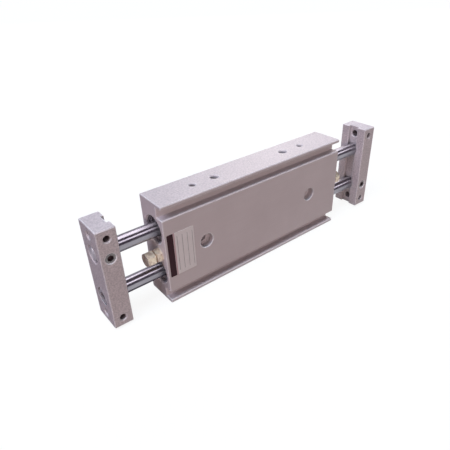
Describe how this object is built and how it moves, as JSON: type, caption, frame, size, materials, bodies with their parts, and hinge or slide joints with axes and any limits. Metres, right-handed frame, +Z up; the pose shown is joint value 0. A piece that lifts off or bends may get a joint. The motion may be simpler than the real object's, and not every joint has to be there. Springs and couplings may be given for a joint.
{
  "type": "twin rod pneumatic cylinder",
  "caption": "Flat guided air cylinder: a block body with parallel through rods tied by a plate at each end, sliding together between bumper bolts with lock nuts.",
  "frame": {"origin": "middle of the narrow face that the body stands on", "axes": "+X along the rods, -Y out of the wide face with the switch grooves, +Z up through the ports"},
  "size_m": [0.197, 0.02, 0.058],
  "materials": {
    "anodised_body": "satin clear anodised extrusion with sawn and milled ends",
    "anodised_plate": "satin clear anodised, milled",
    "cover_alloy": "turned, dull grey anodised",
    "bush_bronze": "sintered bronze, oiled",
    "black_rubber": "nitrile rubber",
    "bumper_rubber": "urethane rubber",
    "retainer_steel": "pressed steel washer",
    "black_spring_steel": "black phosphated spring steel",
    "yellow_zinc_steel": "pale yellow zinc plating",
    "hard_chrome": "ground hard chrome",
    "piston_alloy": "turned aluminium",
    "bonded_magnet": "plastic bonded ferrite",
    "dark_screw_steel": "dark oxide steel",
    "label_film": "thin printed film, left blank"
  },
  "bodies": {
    "barrel": {"body_block": "anodised_body", "upper_left_rod_cover": "cover_alloy", "upper_left_bush": "bush_bronze", "upper_left_rod_seal": "black_rubber", "upper_left_seal_retainer": "retainer_steel", "upper_left_oring": "black_rubber", "upper_left_snap_ring": "black_spring_steel", "upper_right_rod_cover": "cover_alloy", "upper_right_bush": "bush_bronze", "upper_right_rod_seal": "black_rubber", "upper_right_seal_retainer": "retainer_steel", "upper_right_oring": "black_rubber", "upper_right_snap_ring": "black_spring_steel", "lower_left_rod_cover": "cover_alloy", "lower_left_bush": "bush_bronze", "lower_left_rod_seal": "black_rubber", "lower_left_seal_retainer": "retainer_steel", "lower_left_oring": "black_rubber", "lower_left_snap_ring": "black_spring_steel", "lower_right_rod_cover": "cover_alloy", "lower_right_bush": "bush_bronze", "lower_right_rod_seal": "black_rubber", "lower_right_seal_retainer": "retainer_steel", "lower_right_oring": "black_rubber", "lower_right_snap_ring": "black_spring_steel", "left_bumper_bolt": "yellow_zinc_steel", "left_lock_nut": "yellow_zinc_steel", "right_bumper_bolt": "yellow_zinc_steel", "right_lock_nut": "yellow_zinc_steel"},
    "rods": {"upper_rod": "hard_chrome", "upper_piston": "piston_alloy", "upper_piston_seal": "black_rubber", "upper_magnet": "bonded_magnet", "upper_piston_bumpers": "bumper_rubber", "upper_piston_clips": "black_spring_steel", "lower_rod": "hard_chrome", "lower_piston": "piston_alloy", "lower_piston_seal": "black_rubber", "lower_magnet": "bonded_magnet", "lower_piston_bumpers": "bumper_rubber", "lower_piston_clips": "black_spring_steel", "left_plate": "anodised_plate", "left_cap_screw": "dark_screw_steel", "left_side_screw": "dark_screw_steel", "right_plate": "anodised_plate", "right_cap_screw": "dark_screw_steel", "right_side_screw": "dark_screw_steel"}
  },
  "joints": [
    {"name": "rod_slide", "type": "slide", "parent": "barrel", "child": "rods", "axis": [1, 0, 0], "range_m": [-0.0182, 0.0136]}
  ]
}
